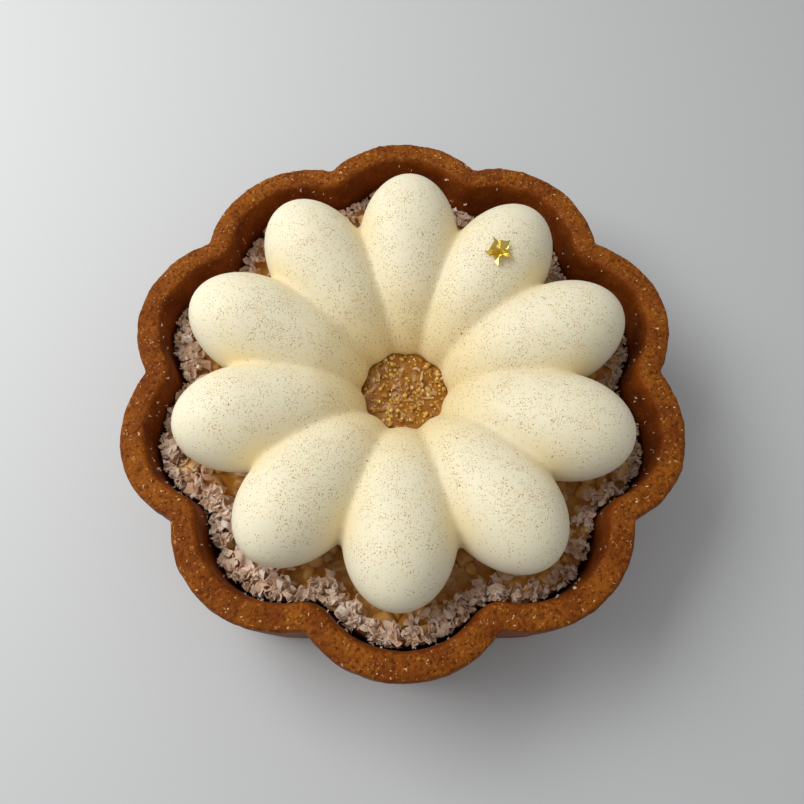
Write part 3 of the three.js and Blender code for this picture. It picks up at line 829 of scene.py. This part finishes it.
# Caramel in syrup: golden brown in clouds, and clear enough for light to soak in. The grains are
# paler than the syrup between them and shine more.
CARAMEL_CLOUD_WIDTH = 1.3 * MM
for made, label, rough, dark, light in (
        (praline, "praline_in_syrup", 0.25, "#995E0A", "#CC9124"),
        (grains, "caramel_grains", 0.12, "#AA6C14", "#E8BE66")):
    caramel, surface = new_material(
        label, made, IOR=1.5, Roughness=rough, Subsurface_Weight=0.4,
        Subsurface_Radius=(1.0, 0.7, 0.25), Subsurface_Scale=0.6 * MM)
    place = add_node(caramel, "ShaderNodeTexCoord").outputs["Object"]
    tone = add_node(caramel, "ShaderNodeAttribute", {"attribute_name": "own_tone"})
    clouds = add_node(caramel, "ShaderNodeTexNoise",
                      {"Scale": 1 / CARAMEL_CLOUD_WIDTH, "Detail": 2.0}, {"Vector": place})
    mixed = add_node(caramel, "ShaderNodeMath", {"operation": "MULTIPLY_ADD", 1: 0.7},
                     {0: tone.outputs["Fac"], 2: clouds.outputs["Fac"]})
    share = add_node(caramel, "ShaderNodeMapRange", {1: 0.4, 2: 1.1}, {0: mixed.outputs[0]})
    amber = add_node(caramel, "ShaderNodeMix",
                     {"data_type": "RGBA", 6: srgb(dark), 7: srgb(light)},
                     {0: share.outputs[0]})
    caramel.node_tree.links.new(amber.outputs[2], surface.inputs["Base Color"])


# ---- Curled shavings ----
# Fine shavings a few millimetres long, each a thin strip with torn ends that has rolled up as it
# was cut. They are strewn in a band along the wall and lie on each other, coarse at the front
# and finer at the back and to the right.

SHAVING_PATTERNS = 22
SHAVING_THICKNESS = 0.06 * MM
SCRAP_PATTERNS = 8
SCRAP_THICKNESS = 0.08 * MM
SCRAP_SHARE = 0.15
SCRAPS_MORE_WHERE_FINE = 0.5
SCRAPS_MORE_BY_WALL = 0.7
CELL = 0.3 * MM
CELLS = 280
SHARE_ABOVE = 0.85
INTERLOCK = 0.3 * MM
PETAL_GAP = 0.1 * MM
SIDE_STEP = 0.2 * MM
SIDE_STEPS = 10
BAND_CURLS = 2000
BAND_TRIES = 12000
INNER_CURLS = 100
INNER_TRIES = 1200
INNER_TOP = 14.6 * MM
SPECKS = 110
THREADS = 26

draw = random.Random(31)
# noise_vector takes its seed from the clock unless it is given one.
noise.seed_set(1)


def shaving_pattern(length, width, roll, thickness, cone, cuts):
    """A strip with torn ends, rolled by so many radians into part of a spiral."""
    strip = new_primitive(
        bpy.ops.mesh.primitive_grid_add, "shaving_pattern", x_subdivisions=cuts[0],
        y_subdivisions=cuts[1], size=1)
    close_editing()
    for vertex in strip.data.vertices:
        along, across, _ = vertex.co
        if abs(along) > 0.49:
            along += math.copysign(draw.uniform(-0.13, 0.1), along)
        if abs(across) > 0.49:
            across += math.copysign(draw.uniform(-0.24, 0.12), across)
        turn = (along + 0.5) * roll
        radius = length / roll * (1.15 - 0.35 * (along + 0.5)) * (1 + cone * across)
        ruffle = 0.3 * noise.noise_vector(Vector((3 * along, 3 * across, length * 4000))) * MM
        vertex.co = ruffle + Vector((
            radius * math.sin(turn), width * across, radius * (1 - math.cos(turn))))
    apply_modifier(strip, "SOLIDIFY", thickness=thickness, offset=0)
    bpy.ops.object.mode_set(mode="EDIT")
    bpy.ops.mesh.select_all(action="SELECT")
    middle = Vector([sum(vertex.co[axis] for vertex in strip.data.vertices)
                     / len(strip.data.vertices) for axis in range(3)])
    bpy.ops.transform.translate(value=-middle)
    close_editing()
    return strip


shaving_patterns = [
    shaving_pattern(
        draw.uniform(1.8, 4) * MM, draw.uniform(0.4, 1.15) * MM, draw.uniform(1.2, 5),
        SHAVING_THICKNESS, draw.uniform(-0.5, 0.5), cuts=(6, 2))
    for _ in range(SHAVING_PATTERNS)]
scrap_patterns = [
    shaving_pattern(
        draw.uniform(0.9, 1.7) * MM, draw.uniform(0.5, 0.9) * MM, draw.uniform(0.8, 2.6),
        SCRAP_THICKNESS, draw.uniform(-0.5, 0.5), cuts=(3, 2))
    for _ in range(SCRAP_PATTERNS)]
curl_patterns = shaving_patterns + scrap_patterns

# The heap's height in square cells, which starts at the cream and the lumps on it.
lump_tree = BVHTree.FromObject(lumps, bpy.context.evaluated_depsgraph_get())
heap = np.full((CELLS, CELLS), FILLING_LEVEL)


def heap_cell(x, y):
    return int(x / CELL + CELLS / 2), int(y / CELL + CELLS / 2)


for column in range(CELLS):
    for row in range(CELLS):
        x, y = (column - CELLS / 2 + 0.5) * CELL, (row - CELLS / 2 + 0.5) * CELL
        if 18 * MM < math.hypot(x, y) < 39 * MM and inset_in_tart(x, y) > WALL:
            heights = [height_below(tree, x, y) for tree in (cream_tree, lump_tree)]
            heap[column, row] = max(height or 0 for height in heights)


def towards_right(angle):
    return smoothstep(-0.3, 0.9, math.cos(angle))


def towards_back(angle):
    return smoothstep(-0.1, 0.9, math.sin(angle))


def band_top(angle):
    """The heap's height along the wall: lower at the back, and lowest to the right."""
    return (15.9 - 1.8 * towards_right(angle) - 0.9 * towards_back(angle)) * MM


def strew(count, tries, inset_draw, ceiling):
    """Drops curls one by one on what lies below them, where each sinks in a little. Scraps fall
    above all by the wall. One that would touch the wall or a petal is moved inwards, and left
    out if that doesn't clear it."""
    placed = 0
    for _ in range(tries):
        if placed == count:
            return
        angle = draw.uniform(0, 2 * math.pi)
        fine = max(towards_right(angle), towards_back(angle))
        inset = inset_draw()
        by_wall = SCRAPS_MORE_BY_WALL if inset < WALL + 1.1 * MM else 0
        if draw.random() < SCRAP_SHARE + max(SCRAPS_MORE_WHERE_FINE * fine, by_wall):
            which = SHAVING_PATTERNS + draw.randrange(SCRAP_PATTERNS)
        else:
            which = draw.randrange(SHAVING_PATTERNS)
        size = draw.uniform(0.75, 1.1) * (1 - 0.3 * fine)
        turn = turned_at_random(draw, 1.2) @ Matrix.Scale(size, 4)
        points = [turn @ vertex.co for vertex in curl_patterns[which].data.vertices]
        wall_gap = draw.uniform(0.06, 0.3) * MM
        distance = LOBE_CENTRE + LOBE_RADIUS + 2 * MM
        while inset_in_tart(*tart_point(angle, distance)) < inset:
            distance -= SIDE_STEP
        for _ in range(SIDE_STEPS):
            x, y = tart_point(angle, distance)
            rests = sorted(
                heap[heap_cell(x + point.x, y + point.y)] - point.z for point in points)
            level = rests[int(len(rests) * SHARE_ABOVE)]
            at = Vector((x, y, level))
            if (max(point.z for point in points) + level < ceiling(angle)
                    and all(clear_of(shell_tree, at + point, wall_gap) for point in points)
                    and all(clear_of(flower_tree, at + point, PETAL_GAP) for point in points)):
                for point in points:
                    cell = heap_cell(x + point.x, y + point.y)
                    heap[cell] = max(heap[cell], level + point.z - INTERLOCK)
                curl_places.append((which, Matrix.Translation(at) @ turn, draw.random()))
                placed += 1
                break
            distance -= SIDE_STEP


def band_inset():
    """How far from the outline a curl falls: most of them near the wall."""
    return WALL + 0.45 * MM + min(abs(draw.gauss(0, 1.3)), 3.6) * MM


curl_places = []
strew(BAND_CURLS, BAND_TRIES, band_inset, band_top)
strew(INNER_CURLS, INNER_TRIES, lambda: WALL + draw.uniform(4, 9) * MM, lambda angle: INNER_TOP)

# Specks of the same shavings that stick to the wall above the band.
for _ in range(SPECKS):
    angle = draw.uniform(0, 2 * math.pi)
    outwards = Vector((math.cos(angle), math.sin(angle), 0))
    start = outwards * 18 * MM + Vector((0, tart_axis.y, draw.uniform(14, 19.4) * MM))
    spot, wall_normal, _, _ = shell_tree.ray_cast(start, outwards)
    turn = turned_at_random(draw, 1.5) @ Matrix.Scale(draw.uniform(0.2, 0.45), 4)
    curl_places.append((
        SHAVING_PATTERNS + draw.randrange(SCRAP_PATTERNS),
        Matrix.Translation(spot + wall_normal * SCRAP_THICKNESS) @ turn, draw.random()))

# A few torn to threads lie on the praline in the hub.
for _ in range(THREADS):
    x, y = hub_point(draw, 0.8 * HUB_RADIUS)
    ground = height_below(praline_tree, x, y)
    thread = turned_at_random(draw, 0.7) @ Matrix.Diagonal((0.7, 0.2, 0.5, 1))
    which = draw.randrange(SHAVING_PATTERNS)
    height = ground + draw.uniform(0.3, 0.7) * MM
    curl_places.append((which, Matrix.Translation((x, y, height)) @ thread, draw.random()))
shavings = copies_of("curled_shavings", curl_patterns, curl_places)
remove_patterns(curl_patterns)
bpy.ops.object.shade_smooth_by_angle(angle=math.radians(40))
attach(shavings, "root")
keep_attribute(shavings, "in_syrup", lambda vertex: smoothstep(
    3.5 * MM, 6.5 * MM, inset_in_tart(vertex.co.x, vertex.co.y) - WALL))

# Dry grated curls: a warm, slightly pink white, matt, thin enough for light to soak through, and
# tinted amber where they lie in the syrup.
curl, surface = new_material(
    "dry_curled_shavings", shavings, IOR=1.4, Roughness=0.6, Subsurface_Weight=0.4,
    Subsurface_Radius=(1.0, 0.8, 0.7), Subsurface_Scale=0.5 * MM)
tone = add_node(curl, "ShaderNodeAttribute", {"attribute_name": "own_tone"})
syrup = add_node(curl, "ShaderNodeAttribute", {"attribute_name": "in_syrup"})
pale = add_node(curl, "ShaderNodeMix",
                {"data_type": "RGBA", 6: srgb("#E8BC98"), 7: srgb("#FFE8D2")},
                {0: tone.outputs["Fac"]})
tinted = add_node(curl, "ShaderNodeMix", {"data_type": "RGBA", 7: srgb("#D8AE78")},
                  {0: syrup.outputs["Fac"], 6: pale.outputs[2]})
curl.node_tree.links.new(tinted.outputs[2], surface.inputs["Base Color"])


# ---- Gold star ----
# A scrap of gold leaf cut as a five-pointed star and laid on a petal, where it has crumpled.

STAR_RADIUS = 2.1 * MM
STAR_WAIST = 0.6
LEAF_THICKNESS = 0.05 * MM
STAR_LIFT = 0.45 * MM

draw = random.Random(5)
low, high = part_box("gold_star")
above_star = (low + high) / 2 + Vector((0, 0, 20 * MM))
near, star_normal, _, _ = flower_tree.ray_cast(above_star, Vector((0, 0, -1)))
star = new_primitive(
    bpy.ops.mesh.primitive_circle_add, "gold_leaf_star", vertices=10, radius=STAR_RADIUS,
    fill_type="TRIFAN")
pick(star, "verts", lambda vertex: vertex.co.length > MM and vertex.index % 2 == 1)
bpy.ops.transform.resize(value=(STAR_WAIST, STAR_WAIST, 1), center_override=(0, 0, 0))
bpy.ops.mesh.select_all(action="SELECT")
bpy.ops.mesh.subdivide(number_cuts=1)
close_editing()
for vertex in star.data.vertices:
    vertex.co *= 1 + draw.uniform(-0.1, 0.1)
    vertex.co += Vector([draw.uniform(-0.16, 0.16) for axis in range(3)]) * MM
    vertex.co.z += draw.uniform(-0.3, 0.5) * MM
apply_modifier(star, "SOLIDIFY", thickness=LEAF_THICKNESS, offset=0)
star.data.transform(
    Matrix.Translation(near + star_normal * STAR_LIFT)
    @ star_normal.to_track_quat("Z", "Y").to_matrix().to_4x4())
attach(star, "root")
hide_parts("gold_star")

# Beaten gold leaf: pale yellow metal, bright, and smooth between its creases.
_, surface = new_material("gold_leaf", star, Metallic=1.0, Roughness=0.2)
surface.inputs["Base Color"].default_value = srgb("#F3D670")


# ---- Studio ----
# A matt pale floor, a large soft window to the left that faces down, and a dim room. The camera
# looks down steeply from the front.

floor = new_primitive(bpy.ops.mesh.primitive_plane_add, "floor", size=1.6)
close_editing()
_, surface = new_material("matt_pale_floor", floor, Roughness=0.7)
surface.inputs["Base Color"].default_value = srgb("#CDCECE")
window_at = Vector((-0.2, 0.07, 0.24))
bpy.ops.object.light_add(type="AREA", location=window_at)
window = bpy.context.object
window.name = "window"
window.data.shape = "RECTANGLE"
window.data.size = 0.24
window.data.size_y = 0.2
window.data.energy = 0.84
window_aim = Vector((-0.16, 0.05, 0))
window.rotation_euler = (window_aim - window_at).to_track_quat("-Z", "Y").to_euler()

world = bpy.data.worlds.new("room")
bpy.context.scene.world = world
world.use_nodes = True
world.node_tree.nodes["Background"].inputs["Color"].default_value = (0.95, 0.96, 0.97, 1)
world.node_tree.nodes["Background"].inputs["Strength"].default_value = 0.4
bpy.context.scene.view_settings.view_transform = "Standard"

elevation = math.radians(68.26)
aim = Vector((-0.11, -4.77, 20)) * MM
away = 97.5 * MM
bpy.ops.object.camera_add(
    location=aim + away * Vector((0, -math.cos(elevation), math.sin(elevation))),
    rotation=(math.pi / 2 - elevation, 0, 0))
camera = bpy.context.object
camera.data.sensor_width = 36
camera.data.lens = 31.34
camera.data.clip_start = 0.005
bpy.context.scene.camera = camera
